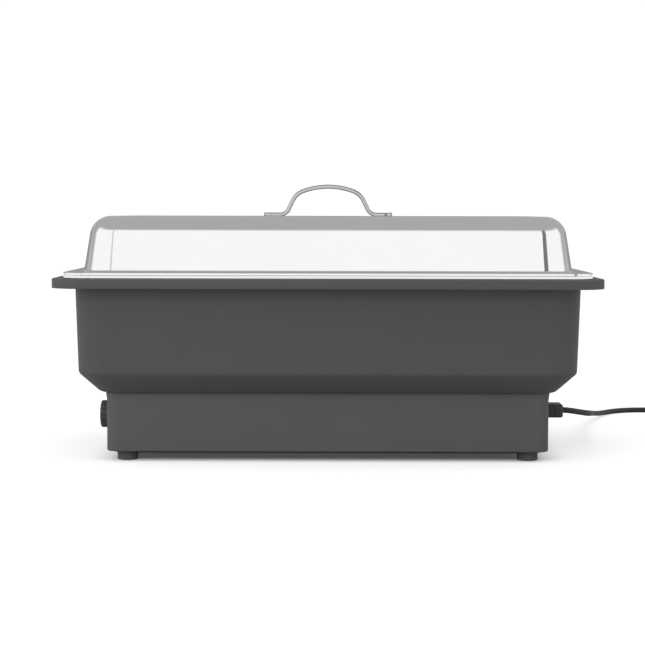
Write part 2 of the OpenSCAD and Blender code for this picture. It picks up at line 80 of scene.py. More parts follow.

# %% [markdown]
# ## The lead
#
# A mains lead is stiff: it leaves the connector level, turns towards the back while its weight brings it
# down, and then runs along the table. Its free stretch is a smooth curve through given points. The
# rest is put away in a coil, whose turns are worked out: two turns winding inwards on the table, then two
# winding outwards on top of them, and a short tail to the plug.

# %% Route of the lead
CORD_D = 6.5 * MM
CORD_ROUTE = [(258.8, 0, 41.3), (266, 0.4, 40.8), (276, 3.6, 39.1), (285, 11, 37.1), (291.5, 22.5, 35.3),
              (295.5, 38.5, 33.4), (298, 60, 31), (300.5, 90, 27.7), (304.5, 130, 23.2), (311, 172, 18.4),
              (318.5, 208, 14.5), (326.5, 240, 10.9), (335, 268, 7.8), (344, 293, 5), (355, 315, 3.6),
              (369, 333, 3.3), (387, 345, 3.3), (409, 348.8, 3.3), (433, 349, 3.3)]
TAIL_ROUTE = [(502, 296, 10.2), (502, 284, 12), (502, 272, 15), (502, 262, 17.6), (502, 252, 18.8)]
COIL_AT = (458, 305)
COIL_R, COIL_INNER_R = 44, 31
COIL_Z = (3.3, 9.85)
COIL_TURNS, TURNS_IN, TURN_BETWEEN = 4.25, 2, 0.25  # it climbs a layer in about the quarter between


def ease(t):
    """Goes smoothly from 0 to 1 as t does."""
    t = min(max(t, 0), 1)
    return t * t * (3 - 2 * t)


def coil_point(turn):
    """A point of the coil, in millimetres, after some turns."""
    wound_in = min(turn, TURNS_IN) * CORD_D / MM
    wound_out = max(turn - TURNS_IN - TURN_BETWEEN, 0) * CORD_D / MM
    r = COIL_R - wound_in + wound_out
    z = COIL_Z[0] + (COIL_Z[1] - COIL_Z[0]) * ease((turn - 1.93) / 0.3)
    a = math.radians(90 - 360 * turn)
    return (COIL_AT[0] + r * math.cos(a), COIL_AT[1] + r * math.sin(a), z)


def smooth_curve(points, steps):
    """Points of a smooth curve that passes through the given points."""
    pts = [Vector(p) for p in points]
    out = []
    for i in range(len(pts) - 1):
        a, b, c, d = pts[max(i - 1, 0)], pts[i], pts[i + 1], pts[min(i + 2, len(pts) - 1)]
        for s in range(steps):
            t = s / steps
            out.append(0.5 * (2 * b + (c - a) * t + (2 * a - 5 * b + 4 * c - d) * t * t
                              + (3 * b - a - 3 * c + d) * t ** 3))
    return out + [pts[-1]]


COIL_STEPS, ROUTE_STEPS, TAIL_STEPS = 48, 6, 5
coil = [coil_point(k / COIL_STEPS) for k in range(int(COIL_TURNS * COIL_STEPS) + 1)]
way_in = smooth_curve(CORD_ROUTE + coil[:2], ROUTE_STEPS)[:-ROUTE_STEPS]
way_out = smooth_curve(coil[-2:] + TAIL_ROUTE, TAIL_STEPS)[TAIL_STEPS:]
cord_path = [Vector(p) * MM for p in way_in + coil[1:-1] + way_out]


# %% Tube of the lead
def tube(name, path, radius, sides=14, closed=False):
    """A round tube along a path, with a UV map: u runs round it and v runs along it, in metres."""
    n = len(path)
    verts, faces, uvs = [], [], []
    up = Vector((0, 0, 1))
    run, lengths = 0.0, []
    for k, p in enumerate(path):
        ahead = path[(k + 1) % n] if closed else path[min(k + 1, n - 1)]
        behind = path[k - 1] if closed else path[max(k - 1, 0)]
        t = (ahead - behind).normalized()
        u = t.cross(up).normalized()
        v = u.cross(t)
        if k:
            run += (p - path[k - 1]).length
        lengths.append(run)
        for i in range(sides):
            a = 2 * math.pi * i / sides
            verts.append(p + radius * (math.cos(a) * u + math.sin(a) * v))
    for k in range(n if closed else n - 1):
        for i in range(sides):
            j, m = (i + 1) % sides, (k + 1) % n
            faces.append((k * sides + i, m * sides + i, m * sides + j, k * sides + j))
            v0, v1 = lengths[k], lengths[k + 1] if k + 1 < n else run
            uvs += [(i / sides, v0), (i / sides, v1), ((i + 1) / sides, v1), ((i + 1) / sides, v0)]
    if not closed:
        faces += [tuple(range(sides)), tuple((n - 1) * sides + i for i in reversed(range(sides)))]
        uvs += [(0, 0)] * (2 * sides)
    mesh = bpy.data.meshes.new(name)
    mesh.from_pydata([tuple(v) for v in verts], [], faces)
    mesh.uv_layers.new(name="UVMap").data.foreach_set("uv", [c for uv in uvs for c in uv])
    mesh.shade_smooth()
    mesh.set_sharp_from_angle(angle=math.radians(50))
    piece = bpy.data.objects.new(name, mesh)
    bpy.context.collection.objects.link(piece)
    return piece


lead = tube("mains_lead", cord_path, CORD_D / 2)
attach(lead, "cord_set")
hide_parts("supply_cord", "cord_coil", "cord_tail")

# %% [markdown]
# ## Shader maths
#
# A node graph is easier to read as an expression. `Value` wraps one socket and turns + - * / into Math nodes;
# `Graph` owns a node tree and makes any other node from its type, its settings and its inputs. Colours go
# through Mix nodes, because a Math node would turn them grey.

# %% Value and Graph
class Value:
    """One output socket that takes part in arithmetic."""

    def __init__(self, graph, socket):
        self.graph, self.socket = graph, socket

    def _math(self, operation, first, second):
        return self.graph.node("ShaderNodeMath", {"operation": operation}, {0: first, 1: second})

    def __add__(self, other):
        return self._math("ADD", self, other)

    def __sub__(self, other):
        return self._math("SUBTRACT", self, other)

    def __rsub__(self, other):
        return self._math("SUBTRACT", other, self)

    def __mul__(self, other):
        return self._math("MULTIPLY", self, other)

    def __truediv__(self, other):
        return self._math("DIVIDE", self, other)

    __radd__, __rmul__ = __add__, __mul__

    def out(self, name):
        """Another output of the same node."""
        return Value(self.graph, self.socket.node.outputs[name])


class Graph:
    """A node tree that is built by calling node()."""

    def __init__(self, tree):
        self.tree = tree
        tree.nodes.clear()

    def node(self, kind, settings=None, inputs=None):
        made = self.tree.nodes.new(kind)
        for key, value in (settings or {}).items():
            if key == "stops":
                self._set_stops(made.color_ramp, value)
            else:
                setattr(made, key, value)
        for key, value in (inputs or {}).items():
            if isinstance(value, Value):
                self.tree.links.new(value.socket, made.inputs[key])
            else:
                made.inputs[key].default_value = value
        return Value(self, made.outputs[0]) if made.outputs else made

    @staticmethod
    def _set_stops(ramp, stops):
        for spare in list(ramp.elements)[1:]:
            ramp.elements.remove(spare)
        for k, (place, grey) in enumerate(stops):
            stop = ramp.elements[0] if k == 0 else ramp.elements.new(place)
            stop.position = place
            stop.color = (grey, grey, grey, 1)

    def step(self, value, low, high):
        """0 below low, 1 above high, and smooth between them."""
        return self.node("ShaderNodeMapRange", {"interpolation_type": "SMOOTHSTEP"},
                         {"Value": value, "From Min": low, "From Max": high})

    def noise(self, place, scale, detail=3.0, roughness=0.5):
        return self.node("ShaderNodeTexNoise", {"noise_dimensions": "3D"},
                         {"Vector": place, "Scale": scale, "Detail": detail, "Roughness": roughness})

    def stretch(self, place, scale):
        return self.node("ShaderNodeMapping", {}, {"Vector": place, "Scale": scale})

    def tint(self, factor, first, second):
        """A colour between two colours. The sockets of a Mix node in colour mode are numbers 6 and 7."""
        made = self.node("ShaderNodeMix", {"data_type": "RGBA"}, {0: factor, 6: first, 7: second})
        return Value(self, made.socket.node.outputs[2])

    def bump(self, height, strength, distance):
        return self.node("ShaderNodeBump", {}, {"Height": height, "Strength": strength, "Distance": distance})


# %% [markdown]
# ## The studio
#
# Polished steel shows its surroundings and little else, so the surroundings are drawn with care: a white
# front with a narrow dark gap at each end, a grey back that gives the lid its dark outlines, and a grey
# ceiling that gives the shoulder its soft band. Two lamps, above the table and in front of it, light the
# server and the floor without being mirrored in the lid.

# %% Surroundings
def band(g, angle, start, full, fading, end):
    """1 between two angles, in degrees, 0 outside them, and smooth at both ends."""
    rise = g.step(angle, math.radians(start), math.radians(full))
    fall = g.step(angle, math.radians(fading), math.radians(end))
    return rise * (1 - fall)


def build_surroundings():
    world = bpy.data.worlds.new("studio")
    bpy.context.scene.world = world
    world.use_nodes = True
    g = Graph(world.node_tree)
    direction = g.node("ShaderNodeTexCoord")
    split = g.node("ShaderNodeSeparateXYZ", {}, {"Vector": direction})
    x, y, z = split, split.out("Y"), split.out("Z")
    turn = g.node("ShaderNodeMath", {"operation": "ARCTAN2"}, {0: x, 1: 0 - y})
    away = g.node("ShaderNodeMath", {"operation": "ABSOLUTE"}, {0: turn})
    rear = g.step(away, math.radians(112), math.radians(132))
    right_gap = band(g, turn, 11.4, 12.6, 24, 28)
    left_gap = band(g, turn, -19, -16, -13.5, -12)
    walls = (1.12 - 0.8 * rear) * (1 - 0.8 * right_gap) * (1 - 0.35 * left_gap)
    behind = g.step(y, 0.0, 0.25) * g.step(z, 0.05, 0.2)
    front_top = g.step(z, 0.52, 0.72)
    ceiling = 1 - (1 - behind) * (1 - front_top)
    glow = walls * (1 - ceiling) + 0.47 * ceiling
    rays = g.node("ShaderNodeLightPath")
    plain = g.node("ShaderNodeBackground", {}, {"Color": (1, 1, 1, 1), "Strength": 1.02})
    drawn = g.node("ShaderNodeBackground", {}, {"Color": (1, 1, 1, 1), "Strength": glow})
    both = g.node("ShaderNodeMixShader", {}, {0: rays, 1: drawn, 2: plain})
    g.node("ShaderNodeOutputWorld", {}, {"Surface": both})


def add_lamp(name, place, aim, size, power):
    data = bpy.data.lights.new(name, "AREA")
    data.shape, data.size, data.size_y = "RECTANGLE", *size
    data.energy = power
    lamp = bpy.data.objects.new(name, data)
    lamp.location = place
    lamp.rotation_euler = (Vector(aim) - Vector(place)).to_track_quat("-Z", "Y").to_euler()
    lamp.visible_glossy = False
    bpy.context.collection.objects.link(lamp)


def lay_floor():
    mesh = bpy.data.meshes.new("studio_floor")
    r = 9
    mesh.from_pydata([(-r, -r, 0), (r, -r, 0), (r, r, 0), (-r, r, 0)], [], [(0, 1, 2, 3)])
    floor = bpy.data.objects.new("studio_floor", mesh)
    floor.location = (0, 0, -0.2 * MM)
    bpy.context.collection.objects.link(floor)
    material = bpy.data.materials.new("white_floor")
    material.use_nodes = True
    g = Graph(material.node_tree)
    place = g.node("ShaderNodeTexCoord").out("Object")
    distance = g.node("ShaderNodeVectorMath", {"operation": "LENGTH"}, {0: place}).out("Value")
    far = g.step(distance, 0.75, 2.0)
    across = g.node("ShaderNodeSeparateXYZ", {}, {"Vector": place})
    wide = g.node("ShaderNodeMath", {"operation": "ABSOLUTE"}, {0: across})
    deep = g.node("ShaderNodeMath", {"operation": "ABSOLUTE"}, {0: across.out("Y")})
    # Painted shadow: for camera rays the floor's colour is painted darker under the server's footprint, and
    # outside it the floor is brightened by glow; other rays see a darker grey floor.
    clear = 1 - (1 - g.step(wide, 0.205, 0.26)) * (1 - g.step(deep, 0.09, 0.135))
    seen = g.node("ShaderNodeLightPath")
    colour = g.tint(seen * (0.3 + 0.7 * clear), (0.45, 0.45, 0.45, 1), (0.96, 0.96, 0.96, 1))
    table = g.node("ShaderNodeBsdfPrincipled", {}, {
        "Base Color": colour, "Roughness": 0.9, "Specular IOR Level": 0.1,
        "Emission Color": (1, 1, 1, 1), "Emission Strength": 0.06})
    sweep = g.node("ShaderNodeEmission", {}, {"Color": (1, 1, 1, 1), "Strength": 1.02})
    both = g.node("ShaderNodeMixShader", {}, {0: far + (1 - far) * 0.55 * seen * clear, 1: table, 2: sweep})
    g.node("ShaderNodeOutputMaterial", {}, {"Surface": both})
    mesh.materials.append(material)


build_surroundings()
lay_floor()
add_lamp("table_lamp", (0, -0.1, 2.4), (0, 0, 0), (4.5, 3.2), 72)
add_lamp("front_lamp", (-1.6, -2.2, 1.1), (0, 0, 0.1), (1.8, 1.2), 34)
bpy.context.scene.view_settings.view_transform = "Standard"
print("lights", len(bpy.data.lights))

# %% [markdown]
# ## Finishes
#
# Each finish is a short function. The moulded plastic has the fine spark-eroded grain of a mould, the pressed
# steel has the faint straight lines of the strip it was cut from, and rubber is dull and slightly dusty. The
# grain sizes are real ones, in metres, because the patterns read Object coordinates.

# %% Starting a finish
def finish_graph(name):
    material = bpy.data.materials.new(name)
    material.use_nodes = True
    g = Graph(material.node_tree)
    place = g.node("ShaderNodeTexCoord")
    return material, g, place.out("Object")


def surface(g, inputs):
    g.node("ShaderNodeOutputMaterial", {}, {"Surface": g.node("ShaderNodeBsdfPrincipled", {}, inputs)})


def shade(colour, factor):
    return (*[c * factor for c in colour], 1)


# %% Plastic and rubber
def moulded_plastic(name, colour, roughness=0.5, grain=0.00045, depth=0.4, mottle=0.1):
    """Plastic with an eroded grain; mottle is how much its colour drifts over some centimetres."""
    material, g, place = finish_graph(name)
    fine = g.noise(place, 1 / grain, 2.0, 0.6)
    drift = g.noise(place, 22, 3.0, 0.55)
    speck = g.noise(place, 900, 1.0, 0.5)
    mix = 0.6 * drift + 0.4 * speck
    base = g.tint(mix, shade(colour, 1 - mottle), shade(colour, 1 + mottle))
    rough = roughness - 0.06 + 0.12 * fine + 0.08 * drift
    surface(g, {"Base Color": base, "Roughness": rough, "IOR": 1.5, "Specular IOR Level": 0.42,
                "Normal": g.bump(fine, depth, 0.00012)})
    return material


def dull_rubber(name, colour, roughness=0.75):
    material, g, place = finish_graph(name)
    dust = g.step(g.noise(place, 260, 4.0, 0.65), 0.45, 0.8)
    base = g.tint(0.25 * dust, shade(colour, 1), (0.12, 0.12, 0.115, 1))
    surface(g, {"Base Color": base, "Roughness": roughness + 0.12 * dust, "Specular IOR Level": 0.3,
                "Normal": g.bump(dust, 0.2, 0.0001)})
    return material


# %% Metals
def drawn_steel(name, colour, roughness, lines=0.1, along=(3, 260, 260), metallic=1.0):
    """Sheet or rod with faint straight lines; along holds the pattern's scale on each axis."""
    material, g, place = finish_graph(name)
    streak = g.noise(g.stretch(place, along), 9, 4.0, 0.7)
    cloud = g.noise(place, 14, 2.0, 0.5)
    base = g.tint(0.7 * streak + 0.3 * cloud, shade(colour, 0.94), shade(colour, 1.04))
    rough = roughness * (1 - 0.35 + 0.5 * streak + 0.2 * cloud)
    surface(g, {"Base Color": base, "Metallic": metallic, "Roughness": rough,
                "Normal": g.bump(streak, lines, 0.00003)})
    return material


def handle_strip(name, colour):
    """Polished strip; its colour is painted darker on its underside and along its turned-down edge as painted
    shade, and it is made rougher there.
    """
    material, g, place = finish_graph(name)
    normal = g.node("ShaderNodeSeparateXYZ", {}, {"Vector": g.node("ShaderNodeNewGeometry").out("Normal")})
    # Painted shade: where the faces look downwards, the base colour turns dark.
    painted_underside_shade = 1 - g.step(normal.out("Z"), -0.5, 0.12)
    streak = g.noise(g.stretch(place, (6, 260, 260)), 9, 4.0, 0.7)
    base = g.tint(painted_underside_shade, g.tint(streak, shade(colour, 0.97), shade(colour, 1.03)), (0.1, 0.1, 0.1, 1))
    surface(g, {"Base Color": base, "Metallic": 1.0, "Roughness": 0.1 + 0.06 * streak + 0.3 * painted_underside_shade})
    return material


def mirror_steel(name, colour, roughness):
    """Polished sheet: nearly a mirror, with wipe marks that only show in its gloss."""
    material, g, place = finish_graph(name)
    wipe = g.step(g.noise(g.stretch(place, (1, 3, 3)), 11, 5.0, 0.6), 0.42, 0.75)
    hairline = g.step(g.noise(g.stretch(place, (8, 420, 420)), 4, 3.0, 0.8), 0.62, 0.7)
    base = g.tint(0.5 * wipe + 0.3 * hairline, shade(colour, 1), shade(colour, 0.965))
    surface(g, {"Base Color": base, "Metallic": 1.0, "Roughness": roughness + 0.02 * wipe + 0.03 * hairline,
                "Normal": g.bump(wipe, 0.03, 0.00002)})
    return material


def oxidised_metal(name, colour):
    material, g, place = finish_graph(name)
    stain = g.noise(place, 90, 5.0, 0.7)
    base = g.tint(stain, shade(colour, 0.6), shade(colour, 1.5))
    surface(g, {"Base Color": base, "Metallic": 0.6, "Roughness": 0.45 + 0.3 * stain,
                "Normal": g.bump(stain, 0.3, 0.0001)})
    return material


# %% Fibre, ceramic and clear parts
def felted_fibre(name, colour):
    material, g, place = finish_graph(name)
    hair = g.noise(g.stretch(place, (1, 1, 4)), 420, 6.0, 0.8)
    base = g.tint(hair, shade(colour, 0.7), shade(colour, 1.05))
    surface(g, {"Base Color": base, "Roughness": 0.95, "Normal": g.bump(hair, 0.9, 0.0008)})
    return material


def clear_lens(name, colour):
    material, g, place = finish_graph(name)
    facet = g.noise(place, 700, 1.0, 0.5)
    base = g.tint(facet, shade(colour, 0.8), shade(colour, 1.15))
    surface(g, {"Base Color": base, "Roughness": 0.08 + 0.05 * facet, "Coat Weight": 0.6,
                "Normal": g.bump(facet, 0.25, 0.0002)})
    return material


# %% One finish for each slot of the record
FINISHES = {
    "grey_plastic": moulded_plastic("tub_plastic", (0.052, 0.052, 0.053), 0.5),
    "base_plastic": moulded_plastic("base_plastic", (0.068, 0.068, 0.069), 0.52),
    # Painted shade: the cover is darker than the other plastics, partly its own colour and partly painted
    # shade for the gap under the base.
    "cover_plastic": moulded_plastic("cover_plastic", (0.02, 0.02, 0.0205), 0.6),
    "black_plastic": moulded_plastic("black_plastic", (0.038, 0.038, 0.039), 0.38, 0.0003, 0.25),
    "polished_steel": mirror_steel("lid_steel", (0.83, 0.83, 0.835), 0.018),
    "brushed_steel": drawn_steel("pan_steel", (0.66, 0.66, 0.67), 0.26),
    "satin_handle": handle_strip("handle_steel", (0.52, 0.52, 0.525)),
    "zinc_steel": drawn_steel("zinc_steel", (0.62, 0.63, 0.65), 0.32, 0.1, (60, 60, 60)),
    "foot_rubber": dull_rubber("foot_rubber", (0.085, 0.085, 0.086)),
    "aluminium": drawn_steel("aluminium", (0.74, 0.74, 0.75), 0.35, 0.2),
    "heater_sheath": oxidised_metal("heater_sheath", (0.17, 0.15, 0.13)),
    "insulation": felted_fibre("insulation", (0.8, 0.78, 0.72)),
    "ceramic": moulded_plastic("ceramic", (0.72, 0.69, 0.62), 0.5, 0.0006, 0.3, 0.06),
    "copper": drawn_steel("copper", (0.75, 0.4, 0.25), 0.3, 0.1, (50, 50, 50)),
    "dial_print": drawn_steel("dial_print", (0.3, 0.3, 0.31), 0.4, 0.15, (260, 3, 260), 0.8),
    "pointer_white": moulded_plastic("pointer_white", (0.8, 0.8, 0.79), 0.35, 0.0005, 0.1, 0.03),
    "amber_lens": clear_lens("amber_lens", (0.72, 0.18, 0.02)),
    "cord_pvc": moulded_plastic("cord_sheath", (0.026, 0.026, 0.027), 0.46, 0.0006, 0.3),
    "wire_brown": moulded_plastic("brown_wire", (0.16, 0.06, 0.03), 0.4, 0.0006, 0.2),
    "wire_blue": moulded_plastic("blue_wire", (0.03, 0.09, 0.36), 0.4, 0.0006, 0.2),
    "wire_green": moulded_plastic("green_wire", (0.09, 0.33, 0.06), 0.4, 0.0006, 0.2),
}
slot_of = {part["node"]: part["material_slot"] for part in frame["record"]["subparts"]}
for node, slot in slot_of.items():
    mesh = bpy.data.objects[node].data
    mesh.materials.clear()
    mesh.materials.append(FINISHES[slot])
print("finishes", len(FINISHES), "for", len(slot_of), "nodes")


def dress(piece, slot, body, *nodes):
    """Gives a finished piece its material and its body, and hides the CAD nodes that it stands for."""
    piece.data.materials.clear()
    piece.data.materials.append(FINISHES[slot])
    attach(piece, body)
    if nodes:
        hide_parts(*nodes)
    print(piece.name, len(piece.data.vertices), "vertices")


lead.data.materials.append(FINISHES["cord_pvc"])

# %% [markdown]
# ## Rings and shells
#
# The tub, the basin, the pan and the lid are all the same kind of thing: one outline, a rounded rectangle,
# that changes size and corner radius as it climbs. A section drawn on one side is enough. `rounded` puts an
# arc at each bend of that section, and `shell` carries the result round the outline. A section that comes
# back to its start makes a wall of true thickness, closed and with its faces outward.

# %% Section and outline
SIDE = 103                                          # half length less half width of the tub, in millimetres


def rounded(path, steps=5):
    """Replaces each bend (x, z, radius) of a section by an arc; a radius of 0 leaves the bend sharp."""
    out = []
    for k, (x, z, r) in enumerate(path):
        here = Vector((x, z))
        if not r or k in (0, len(path) - 1):
            out.append((x, z))
            continue
        back = (Vector(path[k - 1][:2]) - here)
        ahead = (Vector(path[k + 1][:2]) - here)
        half_angle = back.angle(ahead) / 2
        reach = min(r / math.tan(half_angle), 0.49 * back.length, 0.49 * ahead.length)
        r = reach * math.tan(half_angle)
        centre = here + (back.normalized() + ahead.normalized()).normalized() * (r / math.sin(half_angle))
        start = here + back.normalized() * reach - centre
        turn = start.angle_signed(here + ahead.normalized() * reach - centre)
        for s in range(steps + 1):
            a = -turn * s / steps
            out.append((centre.x + start.x * math.cos(a) - start.y * math.sin(a),
                        centre.y + start.x * math.sin(a) + start.y * math.cos(a)))
    return out


def between(table):
    """A function that reads a value between the rows (x, value) of a short table."""
    def look_up(x):
        for (x0, v0), (x1, v1) in zip(table, table[1:]):
            if x <= x1:
                return v0 + (v1 - v0) * max(x - x0, 0) / (x1 - x0)
        return table[-1][1]
    return look_up


def outline(half_l, half_w, r, z, steps):
    """A rounded rectangle, anticlockwise from above."""
    points = []
    for quarter, (sx, sy) in enumerate(((1, 1), (-1, 1), (-1, -1), (1, -1))):
        for i in range(steps + 1):
            a = math.pi / 2 * (quarter + i / steps)
            x = sx * (half_l - r) + r * math.cos(a)
            y = sy * (half_w - r) + r * math.sin(a)
            points.append(Vector((x, y, z)) * MM)
    return points


def new_piece(name, verts, faces, sharp=35):
    mesh = bpy.data.meshes.new(name)
    mesh.from_pydata([tuple(v) for v in verts], [], faces)
    mesh.validate()
    mesh.shade_smooth()
    mesh.set_sharp_from_angle(angle=math.radians(sharp))
    piece = bpy.data.objects.new(name, mesh)
    bpy.context.collection.objects.link(piece)
    return piece


def joining_faces(a, b, n):
    """Faces between two rings of n points each, whose first points are a and b."""
    return [(a + i, a + (i + 1) % n, b + (i + 1) % n, b + i) for i in range(n)]


def shell(name, rings, steps=12, closed=False, sharp=35):
    """Joins rings (half length, half width, corner radius, z), in millimetres, into one closed skin."""
    n = 4 * (steps + 1)
    verts = [p for ring in rings for p in outline(*ring, steps)]
    faces = []
    for k in range(len(rings) if closed else len(rings) - 1):
        faces += joining_faces(k * n, (k + 1) % len(rings) * n, n)
    if not closed:
        faces += [tuple(reversed(range(n))), tuple(range(len(verts) - n, len(verts)))]
    return new_piece(name, verts, faces, sharp)


def rings_of(path, corner, side=SIDE):
    return [(x, x - side, corner(x), z) for x, z in path]


# %% [markdown]
# ## The tub
#
# The tub is one moulding: a lip with a turned-down edge, walls that lean in by a degree or two so that the
# mould lets go, and a sloping foot. Its inside follows its outside, three millimetres further in, and its
# floor has the window that lets the heater reach the basin.

# %% Tub
TUB_SECTION = [
    (226, 72, 0), (236.5, 72, 9), (257.6, 93.2, 7), (260.5, 188.5, 1.6), (278.6, 188.5, 0.6),
    (278.6, 181.5, 0.4), (281.5, 181.5, 0.6), (281.5, 191.5, 1.5), (269, 191.5, 0.4),
    (269, 190.5, 0.2), (257.6, 190.5, 0.8), (254.7, 95.5, 5), (235, 75, 6), (226, 75, 0)]
tub_corner = between([(190, 10), (226, 16), (236, 22), (257, 29), (260.5, 30), (262, 29),
                      (269, 24), (281.5, 31)])
window = (190, 92, 10)
tub_rings = [(*window, 72)] + rings_of(rounded(TUB_SECTION), tub_corner) + [(*window, 75)]
tub = shell("plastic_tub", tub_rings, 14, closed=True)
dress(tub, "grey_plastic", "root", "tub_housing")

# %% [markdown]
# ## The water basin and the food pan
#
# Both are pressed from thin stainless sheet. The basin's flange lies in the step of the tub's lip, and the
# pan's turned-down rim stands on the basin's flange. The pan is the standard size that every kitchen has,
# with the large corner radii that a deep pressing needs.

# %% Basin and pan
BASIN_SECTION = [
    (225, 75.5, 0), (232.6, 75.5, 7), (253.5, 96.4, 7), (256.4, 190.55, 0.8), (268.2, 190.55, 0),
    (268.2, 191.35, 0), (255.6, 191.35, 1.4), (252.7, 96.8, 6.2), (232.3, 76.3, 6.2), (225, 76.3, 0)]
basin_corner = between([(225, 15), (232, 20), (253, 26), (256, 27), (268.2, 25.3)])
basin = shell("steel_water_basin", rings_of(rounded(BASIN_SECTION), basin_corner), 12)
dress(basin, "brushed_steel", "root", "water_basin")

PAN_SECTION = [
    (224, 131.6, 0), (243, 131.6, 10), (252.9, 195.8, 1.6), (264.2, 195.8, 0.4), (264.2, 191.55, 0),
    (265, 191.55, 0), (265, 196.6, 0.9), (252.4, 196.6, 2.2), (242.1, 132.4, 9.2), (224, 132.4, 0)]
pan_corner = between([(224, 26), (243, 36), (253, 42), (256, 40), (265, 20)])
pan = shell("steel_food_pan", rings_of(rounded(PAN_SECTION, 6), pan_corner, 102.5), 14)
dress(pan, "brushed_steel", "pan", "food_pan")

# %% [markdown]
# ## The lid
#
# The lid is drawn from one sheet. Its walls lean in by nine degrees, its shoulder is a wide even arc, and its
# rim goes out flat and turns down over the pan. A shallow line runs round the turned edge, where the sheet is
# folded back on itself.

# %% Lid
LID_TOP, LID_RIM, LID_SHEET, SHOULDER = 254.7, 197.7, 0.9, 35
LID_LEAN = math.tan(math.radians(9))
top_corner_x = 252.5 - (LID_TOP - LID_RIM) * LID_LEAN
LID_SECTION = [
    (206, LID_TOP - LID_SHEET, 0), (top_corner_x - 0.8, LID_TOP - LID_SHEET, SHOULDER - LID_SHEET),
    (251.6, LID_RIM - LID_SHEET, 1.2), (269.1, LID_RIM - LID_SHEET, 0.5), (269.1, 192.1, 0), (270, 192.1, 0),
    (270, 194.6, 0), (269.6, 194.9, 0), (270, 195.2, 0), (270, LID_RIM, 1.0), (252.5, LID_RIM, 2.4),
    (top_corner_x, LID_TOP, SHOULDER), (206, LID_TOP, 0)]
lid_corner = between([(205, 5), (212.5, 5), (252.5, 33), (257, 34), (270, 22)])
lid = shell("polished_lid", rings_of(rounded(LID_SECTION, 18), lid_corner, 102.5), 20, sharp=30)
dress(lid, "polished_steel", "lid", "lid_shell")

# %% [markdown]
# ## The handle
#
# The handle is a strip with its edges turned down, bent into an arch. It is made as a sweep: the strip's
# section is carried along the arch and always stands square to it. The arch is four tangent pieces: a flat
# crown, a tight elbow, a straight leg and a toe that turns out onto the lid.

# %% Handle
HANDLE_W, HANDLE_D, HANDLE_T = 24, 4.2, 1.5
NARROW_FROM, CLOSED_FROM, FOOT_END = 64, 67, 70     # the foot narrows and its hollow closes, towards its end


def arch_half():
    """Places and directions along the right half of the arch, from the crown to the end of the foot."""
    crown_r, elbow_r, toe_r, leg, bend, steep = 82, 24, 7.5, 9.7, 20, 65
    top = LID_TOP + 34.7
    out = []

    def add(centre, r, a0, a1, steps, sign=1):
        for k in range(steps + 1):
            a = math.radians(a0 + (a1 - a0) * k / steps)
            out.append((Vector(centre) + sign * r * Vector((math.sin(a), math.cos(a))), a))

    add((0, top - crown_r), crown_r, 0, bend, 10)
    b = math.radians(bend)
    elbow = Vector(((crown_r - elbow_r) * math.sin(b), top - crown_r + (crown_r - elbow_r) * math.cos(b)))
    add(elbow, elbow_r, bend + 3, steep, 12)
    s = math.radians(steep)
    normal, down = Vector((math.sin(s), math.cos(s))), Vector((math.cos(s), -math.sin(s)))
    toe = elbow + (elbow_r + toe_r) * normal + leg * down
    add(toe, toe_r, steep, 0, 10, -1)
    foot_z = out[-1][0].y
    for x in (56, 60, NARROW_FROM, CLOSED_FROM, 68.6, 69.5, FOOT_END):
        out.append((Vector((x, foot_z)), 0.0))
    return out


def strip_section(width, depth, thick):
    """The strip's section as (across, above): rounded outside edges, open below."""
    w, t = width / 2, thick
    outer = rounded([(t - w, -depth, 0), (-w, -depth, 1.4), (-w, 0, 1.7), (w, 0, 1.7), (w, -depth, 1.4),
                     (w - t, -depth, 0)], 5)
    bend = min(0.9, 0.45 * (depth - t))
    inner = rounded([(w - t, -depth, 0), (w - t, -t, bend), (t - w, -t, bend), (t - w, -depth, 0)], 3)[1:-1]
    bow = [(x, z + 0.5 * (1 - (x / w) ** 2) - 0.5) for x, z in outer + inner]
    return bow


def build_handle():
    half = arch_half()
    full = [(Vector((-p.x, p.y)), -a) for p, a in reversed(half[1:])] + half
    verts, faces = [], []
    for p, a in full:
        end = max(abs(p.x) - NARROW_FROM, 0) / (FOOT_END - NARROW_FROM)
        narrow = math.sqrt(max(1 - end * end * 0.72, 0))
        closed = min(max(abs(p.x) - CLOSED_FROM, 0) / 2, 1)
        thick = HANDLE_T * narrow + closed * (HANDLE_D - 0.3 - HANDLE_T)
        section = strip_section(HANDLE_W * narrow, HANDLE_D, thick)
        for across, above in section:
            verts.append(Vector((p.x + above * math.sin(a), across, p.y + above * math.cos(a))) * MM)
    n = len(section)
    for k in range(len(full) - 1):
        faces += joining_faces(k * n, (k + 1) * n, n)
    faces += [tuple(reversed(range(n))), tuple((len(full) - 1) * n + i for i in range(n))]
    return new_piece("lid_strap_handle", verts, faces, 40)


handle = build_handle()
dress(handle, "satin_handle", "lid", "lid_handle")

# %% [markdown]
# ## The base box
#
# The base is a second moulding with a ledge inside its foot, for the cover, and a window in its roof. Its
# walls flare by a millimetre just under the tub. The holes for the knob's spindle, the lamp and the inlet are
# cut last, because a cut keeps the flat end walls flat.

# %% Cutting holes
def evaluated(piece):
    """Turns a piece's modifiers into plain mesh."""
    graph = bpy.context.evaluated_depsgraph_get()
    mesh = bpy.data.meshes.new_from_object(piece.evaluated_get(graph))
    piece.modifiers.clear()
    old = piece.data
    piece.data = mesh
    bpy.data.meshes.remove(old)
    mesh.name = piece.name
    return piece


def carve(piece, *cutters, sharp=35):
    for cutter in cutters:
        cut = piece.modifiers.new("cut", "BOOLEAN")
        cut.operation, cut.solver, cut.object = "DIFFERENCE", "EXACT", cutter
    evaluated(piece)
    for cutter in cutters:
        bpy.data.objects.remove(cutter)
    piece.data.shade_smooth()
    piece.data.set_sharp_from_angle(angle=math.radians(sharp))
    return piece


